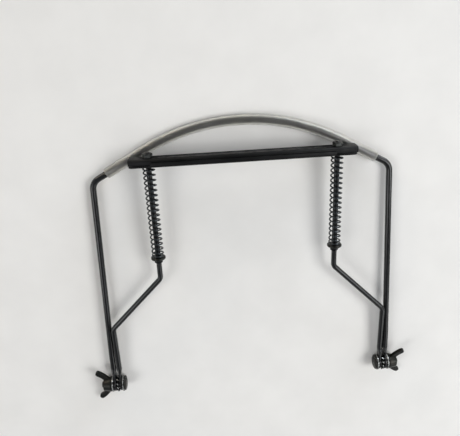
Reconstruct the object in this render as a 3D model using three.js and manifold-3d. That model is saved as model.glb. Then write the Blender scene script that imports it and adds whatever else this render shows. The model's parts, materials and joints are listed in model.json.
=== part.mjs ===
// A neck holder for a harmonica, folded flat as it is stored.
// A bent steel yoke with a clear sleeve goes round the neck. A sprung cradle is bolted to its two
// ends: two bent arms carry a fixed jaw, and a sliding jaw is pushed against it by two coil
// springs. Wing nuts clamp the cradle at any angle to the yoke.
// X runs from the left pivot to the right one, Y from the pivots to the neck, and Z up from the
// surface that the folded holder lies on. Lengths are millimetres and angles degrees.

import * as THREE from "three";
import { mergeVertices } from "three/addons/utils/BufferGeometryUtils.js";
import Module from "manifold-3d";

const wasm = await Module();
wasm.setup();

// Clearances: the gap that resting faces keep, and the overrun of every cut
const seatGap = 0.3;
const overrun = 1;
const weld = 0.001;

// Yoke, bent from one round rod
const yokeRodDiameter = 4;
const legLean = 3.2;
const shoulderHeight = 149.1;
const shoulderBend = 8;
const archRadius = 130;
const archSlope = 28.5;
const yokeLegEnd = 24;
const yokeEyeDiameter = 10.4;
const yokeEyeThickness = 2;
const yokeEyeNeck = 6.6;

// Clear sleeve on the arch
const sleeveWall = 0.95;
const sleeveEndFromShoulder = 10.9;

// Cradle arms, bent from thinner rod
const armRodDiameter = 3.5;
const armHalfWidth = 94.3;
const armLegHeight = 45.7;
const railHalfSpacing = 58.3;
const railStart = 82.3;
const armBend = 5;
const armEyeDiameter = 10;
const armEyeThickness = 1.8;
const armEyeNeck = 5.6;
const tenonDiameter = 2.9;
const tenonEnd = 0.7;

// Pressed ears in each arm that hold the spring's seat
const seatHeight = 97;
const earLength = 3;
const earSpan = 5.4;
const earThickness = 2;

// Pressed length of a rod's end above its eye
const pressedLength = 8;
const pressedTaper = 5;

// Jaws, pressed from sheet
const sheet = 1.2;
const jawTop = 165;
const jawOverhang = 11.8;
const fixedJawDepth = 10;
const fixedJawHeight = 3.6;
const lipInset = 1.8;
const slidingJawHeight = 3;
const sheetBend = 1.5;
const tabCorner = 3;
const railHole = 4.1;
const tenonHole = 3.3;
const jawToSleeve = 1.2;

// Nuts on the arms' ends
const jawNutFlats = 5.5;
const jawNutHeight = 2.4;
const jawNutChamfer = 0.4;

// Spring seats and springs
const springSeatDiameter = 9.6;
const springSeatThickness = 1.5;
const springSeatRound = 0.5;
const springDiameter = 8;
const springWire = 1;
const springTurns = 19;
const endTurnPitch = 1.8;

// Pivot hardware
const boltDiameter = 4.8;
const boltEnd = 1.3;
const boltTipChamfer = 0.6;
const boltHeadDiameter = 10.4;
const boltHeadHeight = 1.9;
const boltHeadRim = 0.6;
const boltSlotWidth = 1.2;
const boltSlotDepth = 0.9;
const boltHole = 5.4;
const washerDiameter = 11.4;
const washerThickness = 0.8;
const washerEdge = 0.2;
const toothRingDiameter = 8.6;
const toothRingThickness = 0.7;
const toothSpace = 1.6;
const toothWidth = 1.5;
const toothTwist = 38;
const toothCount = 12;

// Wing nuts
const wingNutBore = 5.2;
const wingNutBase = 10.8;
const wingNutTop = 8.8;
const wingNutHub = 6;
const wingNutHeight = 10.4;
const wingNutSpan = 25.6;
const wingThickness = 2.2;
const wingTipRadius = 2;
const wingRootLow = 1;
const wingRootHigh = 5.5;
const rightWingAngle = 20;
const leftWingAngle = 10;

// Faces on round work
const rodSides = 16;
const boreSides = 24;
const bendSteps = 6;
const archSteps = 24;
const springSides = 5;
const turnSteps = 8;
const domeSteps = 5;
const cornerSteps = 4;

// Radii and places that follow from the sizes above
const yokeRadius = yokeRodDiameter / 2;
const armRadius = armRodDiameter / 2;
const sleeveBoreRadius = yokeRadius + seatGap;
const sleeveRadius = sleeveBoreRadius + sleeveWall;
const tenonRadius = tenonDiameter / 2;
const wireRadius = springWire / 2;
const coilRadius = (springDiameter - springWire) / 2;
const boltRadius = boltDiameter / 2;
const washerRadius = washerDiameter / 2;

// The stack on each pivot bolt, from the arm's eye inwards and outwards
const headWasherOuter = armHalfWidth - armEyeThickness / 2 - seatGap;
const headSeat = headWasherOuter - washerThickness - seatGap;
const toothInner = armHalfWidth + armEyeThickness / 2 + seatGap;
const yokeHalfWidth = toothInner + toothSpace + seatGap + yokeEyeThickness / 2;
const washerInner = yokeHalfWidth + yokeEyeThickness / 2 + seatGap;
const wingNutInner = washerInner + washerThickness + seatGap;
const boltTip = wingNutInner + wingNutHub + boltEnd;
const shoulderHalfWidth = yokeHalfWidth - legLean;

// The arch: two slopes from the shoulders, rounded where they would meet
const slope = THREE.MathUtils.degToRad(archSlope);
const archCorner = shoulderHeight + shoulderHalfWidth * Math.tan(slope);
const archTop = archCorner - archRadius * (1 / Math.cos(slope) - 1);

// Heights along the arms, from the sliding jaw's underside to the arm's end
const fixedLipEdge = jawTop - fixedJawHeight;
const slidingWebTop = fixedLipEdge - seatGap;
const slidingWebBottom = slidingWebTop - sheet;
const railEnd = jawTop - sheet - seatGap;
const jawNutSeat = jawTop + seatGap;
const tenonTop = jawNutSeat + jawNutHeight + tenonEnd;
const seatTop = seatHeight + springSeatThickness;
const springBottom = seatTop + seatGap;
const springTop = slidingWebBottom - seatGap;
const slidingJawDepth = fixedJawDepth + 2 * (seatGap + sheet);
const jawLength = 2 * (railHalfSpacing + jawOverhang);
const slidingLipLength = 2 * (railHalfSpacing - lipInset);

// The folded holder rests on its pivot washers and on the sleeve, which tilts the yoke down, and
// the cradle lies over it at the angle that clears the sleeve
const restTilt = Math.asin((washerRadius - sleeveRadius) / archTop);
const foldLift = sleeveRadius + fixedJawDepth / 2 + jawToSleeve;
const foldAngle = Math.asin(foldLift / slidingWebTop);

// Finishes
function blackPaint() {
  return new THREE.MeshStandardMaterial({ color: 0x17191a, roughness: 0.38, metalness: 0.2 });
}

function blackSpringSteel() {
  return new THREE.MeshStandardMaterial({ color: 0x1b1d1e, roughness: 0.3, metalness: 0.7 });
}

function blackZinc() {
  return new THREE.MeshStandardMaterial({ color: 0x1e2221, roughness: 0.32, metalness: 0.8 });
}

function clearVinyl() {
  return new THREE.MeshStandardMaterial({
    color: 0xdfe6e4,
    roughness: 0.12,
    metalness: 0,
    transparent: true,
    opacity: 0.35,
  });
}

// Joining and cutting
function solidOf(geometry) {
  const bare = geometry.index ? geometry.toNonIndexed() : geometry.clone();
  bare.deleteAttribute("normal");
  bare.deleteAttribute("uv");
  const merged = mergeVertices(bare, weld);
  return new wasm.Manifold(
    new wasm.Mesh({
      numProp: 3,
      vertProperties: merged.attributes.position.array,
      triVerts: new Uint32Array(merged.index.array),
    }),
  );
}

function geometryOf(solid) {
  const mesh = solid.getMesh();
  const geometry = new THREE.BufferGeometry();
  geometry.setAttribute("position", new THREE.BufferAttribute(mesh.vertProperties, mesh.numProp));
  geometry.setIndex(new THREE.BufferAttribute(mesh.triVerts, 1));
  const faceted = geometry.toNonIndexed();
  faceted.computeVertexNormals();
  return faceted;
}

function join(...geometries) {
  return geometryOf(geometries.map(solidOf).reduce((whole, piece) => whole.add(piece)));
}

function cut(geometry, ...tools) {
  return geometryOf(tools.map(solidOf).reduce((rest, tool) => rest.subtract(tool), solidOf(geometry)));
}

function common(first, second) {
  return geometryOf(solidOf(first).intersect(solidOf(second)));
}

function placed(geometry, x, y, z) {
  return geometry.translate(x, y, z);
}

// Turns a shape made about the Y axis so that its Y points along X
function alongX(geometry) {
  return geometry.rotateZ(-Math.PI / 2);
}

function cylinder(radius, length, sides) {
  return new THREE.CylinderGeometry(radius, radius, length, sides);
}

// A path of straights and rounded corners. Its equal steps are the given stations, so a rod swept
// along it has rings only where it bends or changes its section.
class BentPath extends THREE.Curve {
  constructor(stations) {
    super();
    this.stations = stations;
  }

  stationAt(share) {
    return this.stations[Math.round(share * (this.stations.length - 1))];
  }

  getPoint(share, target = new THREE.Vector3()) {
    return target.copy(this.stationAt(share).point);
  }

  getPointAt(share, target = new THREE.Vector3()) {
    return this.getPoint(share, target);
  }

  getTangentAt(share, target = new THREE.Vector3()) {
    return target.copy(this.stationAt(share).direction);
  }
}

function cornerStations(before, corner, after) {
  const arriving = corner.point.clone().sub(before.point).normalize();
  const leaving = after.point.clone().sub(corner.point).normalize();
  if (!corner.radius) {
    return [{ point: corner.point, direction: arriving.clone().add(leaving).normalize() }];
  }
  const turn = arriving.angleTo(leaving);
  const axis = arriving.clone().cross(leaving).normalize();
  const reach = corner.radius * Math.tan(turn / 2);
  const start = corner.point.clone().addScaledVector(arriving, -reach);
  const inward = axis.clone().cross(arriving);
  const centre = start.clone().addScaledVector(inward, corner.radius);
  const stations = [];
  for (let step = 0; step <= corner.steps; step++) {
    const angle = (turn * step) / corner.steps;
    const arm = start.clone().sub(centre).applyAxisAngle(axis, angle);
    stations.push({
      point: centre.clone().add(arm),
      direction: arriving.clone().applyAxisAngle(axis, angle),
    });
  }
  return stations;
}

function bentPath(corners) {
  const last = corners.length - 1;
  const stations = corners.flatMap((corner, i) => {
    if (i === 0) {
      const direction = corners[1].point.clone().sub(corner.point).normalize();
      return [{ point: corner.point, direction }];
    }
    if (i === last) {
      const direction = corner.point.clone().sub(corners[last - 1].point).normalize();
      return [{ point: corner.point, direction }];
    }
    return cornerStations(corners[i - 1], corner, corners[i + 1]);
  });
  return new BentPath(stations);
}

function corner(x, y, radius = 0, steps = bendSteps) {
  return { point: new THREE.Vector3(x, y, 0), radius, steps };
}

function circlePoints(radius, sides) {
  return Array.from({ length: sides }, (_, i) => {
    const angle = (2 * Math.PI * i) / sides;
    return new THREE.Vector2(radius * Math.cos(angle), radius * Math.sin(angle));
  });
}

function sweep(outline, path) {
  return new THREE.ExtrudeGeometry(outline, {
    steps: path.stations.length - 1,
    extrudePath: path,
  });
}

function rod(radius, path) {
  return sweep(new THREE.Shape(circlePoints(radius, rodSides)), path);
}

// Presses a rod that runs along Y at the given X: its section is squeezed to the given thickness
// along one axis and spreads along the other, as far as shareAt says at each height.
function press(geometry, centreX, thin, halfThickness, spread, shareAt) {
  const position = geometry.attributes.position;
  for (let i = 0; i < position.count; i++) {
    const share = shareAt(position.getY(i));
    const side = Math.sign(position.getX(i)) || 1;
    const offset = { x: Math.abs(position.getX(i)) - centreX, z: position.getZ(i) };
    if (share > 0) {
      const wide = thin === "x" ? "z" : "x";
      const squeezed = THREE.MathUtils.clamp(offset[thin], -halfThickness, halfThickness);
      offset[thin] = THREE.MathUtils.lerp(offset[thin], squeezed, share);
      offset[wide] *= THREE.MathUtils.lerp(1, spread, share);
      position.setXYZ(i, side * (centreX + offset.x), position.getY(i), offset.z);
    }
  }
  return geometry;
}

// The share of full pressing at each height above an eye: all of it, then a smooth taper to none
function eyeShare(height) {
  return 1 - THREE.MathUtils.smoothstep(height, pressedLength, pressedLength + pressedTaper);
}

function earShare(height) {
  const top = seatHeight - seatGap;
  const rise = earLength / bendSteps;
  const low = THREE.MathUtils.smoothstep(height, top - earLength, top - earLength + 2 * rise);
  const high = 1 - THREE.MathUtils.smoothstep(height, top - rise, top);
  return Math.min(low, high);
}

// Heights at which a rod's end needs rings while it changes from flat to round
function taperCorners(x) {
  return Array.from({ length: cornerSteps + 1 }, (_, i) =>
    corner(x, pressedLength + (pressedTaper * i) / cornerSteps),
  );
}

function earCorners(x) {
  return Array.from({ length: bendSteps + 1 }, (_, i) =>
    corner(x, seatHeight - seatGap - earLength + (earLength * i) / bendSteps),
  );
}

function eyeDisc(diameter, thickness, x) {
  return placed(alongX(cylinder(diameter / 2, thickness, boreSides)), x, 0, 0);
}

function boltHoleAt(x, thickness) {
  return placed(alongX(cylinder(boltHole / 2, thickness + 2 * overrun, boreSides)), x, 0, 0);
}

// Yoke: legs, shoulders and arch in one rod, with a flat eye at each end
function yokeCorners() {
  const leg = [
    corner(yokeHalfWidth, 0),
    ...taperCorners(yokeHalfWidth),
    corner(yokeHalfWidth, yokeLegEnd),
    corner(shoulderHalfWidth, shoulderHeight, shoulderBend),
  ];
  const mirrored = leg.map(({ point, radius, steps }) => corner(-point.x, point.y, radius, steps));
  return [...leg, corner(0, archCorner, archRadius, archSteps), ...mirrored.reverse()];
}

function yokeGeometry() {
  const spread = yokeEyeNeck / yokeRodDiameter;
  const bent = rod(yokeRadius, bentPath(yokeCorners()));
  const pressed = press(bent, yokeHalfWidth, "x", yokeEyeThickness / 2, spread, eyeShare);
  const sides = [-yokeHalfWidth, yokeHalfWidth];
  const discs = sides.map((x) => eyeDisc(yokeEyeDiameter, yokeEyeThickness, x));
  const holes = sides.map((x) => boltHoleAt(x, yokeEyeThickness));
  return cut(join(pressed, ...discs), ...holes);
}

// Sleeve: a tube over the arch, from just inside one shoulder to the other
function sleeveGeometry() {
  const endX = shoulderHalfWidth - sleeveEndFromShoulder * Math.cos(slope);
  const endY = shoulderHeight + sleeveEndFromShoulder * Math.sin(slope);
  const outline = new THREE.Shape(circlePoints(sleeveRadius, rodSides));
  outline.holes.push(new THREE.Path(circlePoints(sleeveBoreRadius, rodSides)));
  const arch = corner(0, archCorner, archRadius, archSteps);
  return sweep(outline, bentPath([corner(endX, endY), arch, corner(-endX, endY)]));
}

// Cradle arm: leg, dogleg and rail in one rod, with an eye, pressed ears and a turned end
function armGeometry() {
  const path = bentPath([
    corner(armHalfWidth, 0),
    ...taperCorners(armHalfWidth),
    corner(armHalfWidth, armLegHeight, armBend),
    corner(railHalfSpacing, railStart, armBend),
    ...earCorners(railHalfSpacing),
    corner(railHalfSpacing, railEnd),
  ]);
  const bent = rod(armRadius, path);
  const eyeSpread = armEyeNeck / armRodDiameter;
  const eyed = press(bent, armHalfWidth, "x", armEyeThickness / 2, eyeSpread, eyeShare);
  const earSpread = earSpan / armRodDiameter;
  const eared = press(eyed, railHalfSpacing, "z", earThickness / 2, earSpread, earShare);
  const tenonLength = tenonTop - railEnd + overrun;
  const tenon = cylinder(tenonRadius, tenonLength, rodSides);
  placed(tenon, railHalfSpacing, tenonTop - tenonLength / 2, 0);
  const disc = eyeDisc(armEyeDiameter, armEyeThickness, armHalfWidth);
  return cut(join(eared, tenon, disc), boltHoleAt(armHalfWidth, armEyeThickness));
}

// A channel pressed from sheet: its web's outer face at height 0 and its lips downwards
function channel(depth, height, length) {
  const half = depth / 2;
  const outline = new THREE.Shape();
  outline.moveTo(-half, -height);
  outline.lineTo(-half, -sheetBend);
  outline.absarc(-half + sheetBend, -sheetBend, sheetBend, Math.PI, Math.PI / 2, true);
  outline.lineTo(half - sheetBend, 0);
  outline.absarc(half - sheetBend, -sheetBend, sheetBend, Math.PI / 2, 0, true);
  outline.lineTo(half, -height);
  outline.lineTo(half - sheet, -height);
  outline.lineTo(half - sheet, -sheet);
  outline.lineTo(-half + sheet, -sheet);
  outline.lineTo(-half + sheet, -height);
  outline.closePath();
  const geometry = new THREE.ExtrudeGeometry(outline, {
    depth: length,
    bevelEnabled: false,
    curveSegments: cornerSteps,
  });
  return placed(geometry.rotateY(Math.PI / 2), -length / 2, 0, 0);
}

// A flat plate with rounded corners, its upper face at height 0
function roundedPlate(length, depth, radius, thickness) {
  const x = length / 2 - radius;
  const y = depth / 2 - radius;
  const outline = new THREE.Shape();
  outline.absarc(x, y, radius, 0, Math.PI / 2);
  outline.absarc(-x, y, radius, Math.PI / 2, Math.PI);
  outline.absarc(-x, -y, radius, Math.PI, 1.5 * Math.PI);
  outline.absarc(x, -y, radius, 1.5 * Math.PI, 2 * Math.PI);
  const geometry = new THREE.ExtrudeGeometry(outline, {
    depth: thickness,
    bevelEnabled: false,
    curveSegments: cornerSteps,
  });
  return geometry.rotateX(Math.PI / 2);
}

function jawHoles(diameter, height) {
  return [-railHalfSpacing, railHalfSpacing].map((x) =>
    placed(cylinder(diameter / 2, sheet + 2 * overrun, boreSides), x, height, 0),
  );
}

function fixedJawGeometry() {
  const body = placed(channel(fixedJawDepth, fixedJawHeight, jawLength), 0, jawTop, 0);
  return cut(body, ...jawHoles(tenonHole, jawTop - sheet / 2));
}

// Sliding jaw: lips between the rails only, and flat tabs that run on past them
function slidingJawGeometry() {
  const lipped = channel(slidingJawDepth, slidingJawHeight, slidingLipLength).rotateX(Math.PI);
  const tabs = roundedPlate(jawLength, fixedJawDepth, tabCorner, sheet);
  const body = join(placed(lipped, 0, slidingWebBottom, 0), placed(tabs, 0, slidingWebTop, 0));
  return cut(body, ...jawHoles(railHole, slidingWebTop - sheet / 2));
}

// Turned pieces, with their axis along Y
function turned(profile, segments) {
  const points = profile.map(([radius, height]) => new THREE.Vector2(radius, height));
  return new THREE.LatheGeometry(points, segments);
}

// A ring between heights 0 and thickness, its outer corners cut or rounded off by edge
function washer(outerRadius, innerRadius, thickness, edge) {
  return turned(
    [
      [innerRadius, 0],
      [outerRadius - edge, 0],
      [outerRadius, edge],
      [outerRadius, thickness - edge],
      [outerRadius - edge, thickness],
      [innerRadius, thickness],
      [innerRadius, 0],
    ],
    boreSides,
  );
}

function springSeatGeometry() {
  const bore = railHole / 2;
  return washer(springSeatDiameter / 2, bore, springSeatThickness, springSeatRound);
}

function boltWasherGeometry() {
  return alongX(washer(washerRadius, boltHole / 2, washerThickness, washerEdge));
}

// Nut on an arm's end: a hexagon whose upper corners are turned off
function jawNutGeometry() {
  const cornerRadius = jawNutFlats / 2 / Math.cos(Math.PI / 6);
  const hexagon = cylinder(cornerRadius, jawNutHeight, 6);
  placed(hexagon, 0, jawNutHeight / 2, 0);
  const turnedBlank = turned(
    [
      [0, -overrun],
      [cornerRadius + overrun, -overrun],
      [cornerRadius + overrun, jawNutHeight - jawNutChamfer - overrun],
      [cornerRadius, jawNutHeight - jawNutChamfer],
      [cornerRadius - 2 * jawNutChamfer, jawNutHeight],
      [0, jawNutHeight],
    ],
    boreSides,
  );
  const bore = cylinder(tenonHole / 2, jawNutHeight + 2 * overrun, boreSides);
  return cut(common(hexagon, turnedBlank), placed(bore, 0, jawNutHeight / 2, 0));
}

// Compression spring, wound right-handed from height 0 upwards as one unbroken wire. The first and
// last turns are wound close, and a straight stretch of one wire diameter ends each of them.
function springCentres(height) {
  const rise = height - springWire;
  const pitch = (rise - 2 * endTurnPitch) / (springTurns - 2);
  const steps = springTurns * turnSteps;
  const centres = Array.from({ length: steps + 1 }, (_, step) => {
    const turn = step / turnSteps;
    const closed = Math.min(turn, 1) + Math.max(turn - springTurns + 1, 0);
    const open = turn - closed;
    const angle = 2 * Math.PI * turn;
    return new THREE.Vector3(
      coilRadius * Math.cos(angle),
      wireRadius + closed * endTurnPitch + open * pitch,
      -coilRadius * Math.sin(angle),
    );
  });
  const lead = new THREE.Vector3(0, 0, springWire).add(centres[0]);
  const tail = new THREE.Vector3(0, 0, -springWire).add(centres[steps]);
  return [lead, ...centres, tail];
}

function springRings(centres) {
  return centres.map((centre, i) => {
    const before = centres[Math.max(i - 1, 0)];
    const after = centres[Math.min(i + 1, centres.length - 1)];
    const along = after.clone().sub(before).normalize();
    const turn = THREE.MathUtils.clamp(i - 1, 0, centres.length - 3) / turnSteps;
    const angle = 2 * Math.PI * turn;
    const outward = new THREE.Vector3(Math.cos(angle), 0, -Math.sin(angle));
    const across = along.clone().cross(outward).normalize();
    const out = across.clone().cross(along).normalize();
    return Array.from({ length: springSides }, (_, side) => {
      const round = (2 * Math.PI * side) / springSides;
      return centre
        .clone()
        .addScaledVector(out, wireRadius * Math.cos(round))
        .addScaledVector(across, wireRadius * Math.sin(round));
    });
  });
}

// Joins rings of points into one closed body, with a fan over each end
function skin(rings) {
  const sides = rings[0].length;
  const points = rings.flat();
  const corners = [];
  for (let ring = 0; ring < rings.length - 1; ring++) {
    for (let side = 0; side < sides; side++) {
      const a = ring * sides + side;
      const b = ring * sides + ((side + 1) % sides);
      corners.push(a, b, a + sides, b, b + sides, a + sides);
    }
  }
  const last = (rings.length - 1) * sides;
  for (let side = 1; side < sides - 1; side++) {
    corners.push(0, side + 1, side, last, last + side, last + side + 1);
  }
  const geometry = new THREE.BufferGeometry().setFromPoints(points);
  geometry.setIndex(corners);
  const faceted = geometry.toNonIndexed();
  faceted.computeVertexNormals();
  return faceted;
}

// The least distance between surface points that lie half a turn or more apart on the wire
function leastGap(rings) {
  let least = Infinity;
  for (let i = 0; i < rings.length; i++) {
    for (let j = i + turnSteps / 2; j < rings.length; j++) {
      for (const here of rings[i]) {
        for (const there of rings[j]) {
          least = Math.min(least, here.distanceTo(there));
        }
      }
    }
  }
  return least;
}

function springGeometry() {
  const rings = springRings(springCentres(springTop - springBottom));
  console.log("least gap between a spring's turns: " + leastGap(rings).toFixed(2) + " mm");
  return skin(rings);
}

// Pivot bolt: a domed, slotted head and a plain shank, its axis along Y from the head's seat
function boltGeometry() {
  const headRadius = boltHeadDiameter / 2;
  const domeHeight = boltHeadHeight - boltHeadRim;
  const dome = Array.from({ length: domeSteps + 1 }, (_, i) => {
    const angle = (Math.PI * i) / (2 * domeSteps);
    return [headRadius * Math.sin(angle), -boltHeadRim - domeHeight * Math.cos(angle)];
  });
  const length = boltTip - headSeat;
  const blank = turned(
    [
      ...dome,
      [headRadius, 0],
      [boltRadius, 0],
      [boltRadius, length - boltTipChamfer],
      [boltRadius - boltTipChamfer, length],
      [0, length],
    ],
    boreSides,
  );
  const slot = new THREE.BoxGeometry(boltSlotWidth, 2 * boltSlotDepth, boltHeadDiameter + overrun);
  return alongX(cut(blank, placed(slot, 0, -boltHeadHeight, 0)));
}

// Toothed washer: a thin ring with twisted teeth round its rim
function toothedWasherGeometry() {
  const ringRadius = toothRingDiameter / 2;
  const ring = washer(ringRadius, boltHole / 2, toothRingThickness, 0);
  placed(ring, 0, -toothRingThickness / 2, 0);
  const reach = Math.sqrt(washerRadius ** 2 - (toothWidth / 2) ** 2);
  const toothLength = reach - ringRadius + toothRingThickness;
  const teeth = Array.from({ length: toothCount }, (_, i) => {
    const tooth = new THREE.BoxGeometry(toothLength, toothRingThickness, toothWidth);
    tooth.rotateX(THREE.MathUtils.degToRad(toothTwist));
    placed(tooth, reach - toothLength / 2, 0, 0);
    return tooth.rotateY((2 * Math.PI * i) / toothCount);
  });
  return placed(alongX(join(ring, ...teeth)), toothSpace / 2, 0, 0);
}

// Wing nut: a tapered hub with two ears that lean outwards, its seat at X 0 and its wings along Y
function wingOutline() {
  const tipX = wingNutSpan / 2 - wingTipRadius;
  const tipY = wingNutHeight - wingTipRadius;
  const rootX = wingNutTop / 2;
  const outline = new THREE.Shape();
  outline.moveTo(boltRadius + wingTipRadius / 2, wingRootLow);
  outline.lineTo(wingNutBase / 2, wingRootLow);
  outline.quadraticCurveTo(tipX, (wingRootLow + tipY) / 2, tipX + wingTipRadius, tipY);
  outline.absarc(tipX, tipY, wingTipRadius, 0, 0.75 * Math.PI);
  outline.quadraticCurveTo(rootX + wingTipRadius, wingRootHigh, rootX, wingRootHigh);
  outline.lineTo(boltRadius + wingTipRadius / 2, wingRootHigh);
  outline.closePath();
  return outline;
}

function wingNutGeometry() {
  const hub = turned(
    [
      [0, 0],
      [wingNutBase / 2, 0],
      [wingNutBase / 2, wingRootLow],
      [wingNutTop / 2, wingNutHub],
      [0, wingNutHub],
    ],
    boreSides,
  );
  const wing = new THREE.ExtrudeGeometry(wingOutline(), {
    depth: wingThickness,
    bevelEnabled: false,
    curveSegments: cornerSteps,
  });
  placed(wing, 0, 0, -wingThickness / 2);
  const opposite = wing.clone().rotateY(Math.PI);
  const bore = cylinder(wingNutBore / 2, wingNutHub + 2 * overrun, boreSides);
  const nut = cut(join(hub, wing, opposite), placed(bore, 0, wingNutHub / 2, 0));
  return alongX(nut);
}

// Assembly
function part(name, geometry, material) {
  const mesh = new THREE.Mesh(geometry, material);
  mesh.name = name;
  return mesh;
}

// Adds one copy at the right pivot and one, turned to face the other way, at the left
function addPivotPair(group, name, geometry, x, material) {
  const right = part(name + "_right", geometry, material());
  right.position.x = x;
  const left = part(name + "_left", geometry, material());
  left.position.x = -x;
  left.rotation.y = Math.PI;
  group.add(right, left);
  return { right, left };
}

function addRailPair(group, name, geometry, y, material) {
  for (const [side, sign] of [["right", 1], ["left", -1]]) {
    const mesh = part(name + "_" + side, geometry, material());
    mesh.position.set(sign * railHalfSpacing, y, 0);
    group.add(mesh);
  }
}

function yokeAssembly() {
  const group = new THREE.Group();
  group.add(part("yoke_rod", yokeGeometry(), blackPaint()));
  group.add(part("neck_sleeve", sleeveGeometry(), clearVinyl()));
  addPivotPair(group, "nut_washer", boltWasherGeometry(), washerInner, blackZinc);
  group.rotation.x = -restTilt;
  return group;
}

function armPair(group) {
  const geometry = armGeometry();
  const right = part("cradle_arm_right", geometry, blackPaint());
  const left = part("cradle_arm_left", geometry, blackPaint());
  left.scale.x = -1;
  group.add(right, left);
}

function wingNutPair(group) {
  const geometry = wingNutGeometry();
  const nuts = addPivotPair(group, "wing_nut", geometry, wingNutInner, blackZinc);
  const fold = foldAngle - restTilt;
  nuts.right.rotation.x = THREE.MathUtils.degToRad(rightWingAngle) - fold;
  nuts.left.rotation.x = THREE.MathUtils.degToRad(leftWingAngle) - fold;
}

function cradleAssembly() {
  const group = new THREE.Group();
  armPair(group);
  group.add(part("fixed_jaw", fixedJawGeometry(), blackPaint()));
  group.add(part("sliding_jaw", slidingJawGeometry(), blackPaint()));
  addRailPair(group, "jaw_nut", jawNutGeometry(), jawNutSeat, blackZinc);
  addRailPair(group, "spring_seat", springSeatGeometry(), seatHeight, blackZinc);
  addRailPair(group, "spring", springGeometry(), springBottom, blackSpringSteel);
  addPivotPair(group, "pivot_bolt", boltGeometry(), headSeat, blackZinc);
  addPivotPair(group, "head_washer", boltWasherGeometry(), headSeat + seatGap, blackZinc);
  addPivotPair(group, "toothed_washer", toothedWasherGeometry(), toothInner, blackZinc);
  wingNutPair(group);
  group.rotation.x = foldAngle - restTilt;
  return group;
}

// The origin is the middle of the folded holder's outline, on the surface that it lies on
function assembly() {
  const holder = new THREE.Group();
  holder.add(yokeAssembly(), cradleAssembly());
  holder.updateMatrixWorld(true);
  const box = new THREE.Box3().setFromObject(holder, true);
  const centre = box.getCenter(new THREE.Vector3());
  holder.position.set(-centre.x, -centre.y, -box.min.z);
  return holder;
}

const group = assembly();

export default group;
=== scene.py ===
# %% [markdown]
# # A neck holder for a harmonica, folded flat
# A bent rod goes round the player's neck and two bent arms hold a harmonica in front of the mouth,
# between a fixed jaw and a sprung one. Wing nuts clamp the arms to the yoke at any angle.
#
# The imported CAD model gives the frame: where each piece is and which body carries it. Every piece
# is built here again with the fillets, threads and pressed ends that the simple solids leave out,
# and it takes the place of its CAD node.

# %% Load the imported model
import json
import math

import bmesh
import bpy
from mathutils import Matrix, Vector


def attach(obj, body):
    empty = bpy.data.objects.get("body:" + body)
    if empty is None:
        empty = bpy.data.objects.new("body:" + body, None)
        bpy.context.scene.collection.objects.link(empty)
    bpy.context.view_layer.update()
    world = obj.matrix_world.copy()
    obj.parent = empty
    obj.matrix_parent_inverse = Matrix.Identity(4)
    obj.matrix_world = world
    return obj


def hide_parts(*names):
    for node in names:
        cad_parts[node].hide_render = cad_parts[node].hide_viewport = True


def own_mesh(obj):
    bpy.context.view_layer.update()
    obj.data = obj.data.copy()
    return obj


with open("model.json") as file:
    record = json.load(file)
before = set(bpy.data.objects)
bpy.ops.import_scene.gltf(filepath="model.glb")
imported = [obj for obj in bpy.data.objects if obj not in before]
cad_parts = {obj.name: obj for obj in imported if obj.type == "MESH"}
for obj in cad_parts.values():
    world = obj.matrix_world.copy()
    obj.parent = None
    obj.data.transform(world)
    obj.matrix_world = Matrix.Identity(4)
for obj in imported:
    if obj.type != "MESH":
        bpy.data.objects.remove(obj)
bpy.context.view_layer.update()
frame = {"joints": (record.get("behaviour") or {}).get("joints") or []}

scene = bpy.context.scene
MM = 0.001


# %% [markdown]
# ## The camera and the view
# The photograph looks down on the holder from a little above its neck end. The camera's place and
# turn were worked out from the rods, whose lengths are known, so no shift is needed. Standard view
# keeps colours as they are written. Depth of field stays off, so every view is sharp.

# %% Set up the camera
sensor_width = 36
focal_length_px, picture_width_px = 509.4, 460
camera_data = bpy.data.cameras.new("photo_camera")
camera_data.sensor_width = sensor_width
camera_data.lens = focal_length_px / picture_width_px * sensor_width
camera_data.clip_start = 0.01
camera = bpy.data.objects.new("photo_camera", camera_data)
scene.collection.objects.link(camera)
camera_place = Vector((-25.9, 142.4, 319.3)) * MM
looking = Vector((0.0482, -0.3281, -0.9434)).normalized()
rightwards = Vector((0.9965, -0.0492, 0.0680)).normalized()
upwards = rightwards.cross(looking).normalized()
rightwards = looking.cross(upwards)
turn = Matrix((rightwards, upwards, -looking)).transposed().to_4x4()
camera.matrix_world = Matrix.Translation(camera_place) @ turn
scene.camera = camera
scene.view_settings.view_transform = "Standard"
print("lens", round(camera_data.lens, 2), "mm, height", round(camera_place.z, 3), "m")

# %% [markdown]
# ## Where the two halves lie
# The yoke and the cradle are flat shapes that share one hinge line. Each is drawn flat in
# millimetres, with the hinge line along X and its own plane as XY, and then one matrix puts it in
# place. The cradle's tilt comes from the slide joint, which runs along its rails. The yoke's tilt
# follows from how it rests, on the washers at one end and on the sleeve at the other.

# %% Find the planes of the yoke and the cradle
joints = {joint["name"]: joint for joint in frame["joints"]}
hinge = Vector(joints["cradle_fold"]["pos_m"])
rails = Vector(joints["jaw_slide"]["axis"])
washer_radius, sleeve_radius, arch_top = 5.7, 3.25, 182.86
cradle_tilt = math.atan2(-rails.z, -rails.y)
yoke_tilt = -math.asin((washer_radius - sleeve_radius) / arch_top)


def tilted_plane(tilt):
    """Takes flat millimetres to metres in place, on a plane through the hinge line."""
    return Matrix.Translation(hinge) @ Matrix.Rotation(tilt, 4, "X") @ Matrix.Scale(MM, 4)


cradle_plane, yoke_plane = tilted_plane(cradle_tilt), tilted_plane(yoke_tilt)
for half, tilt in (("cradle", cradle_tilt), ("yoke", yoke_tilt)):
    print(half, "tilted by", round(math.degrees(tilt), 2), "degrees")


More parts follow.
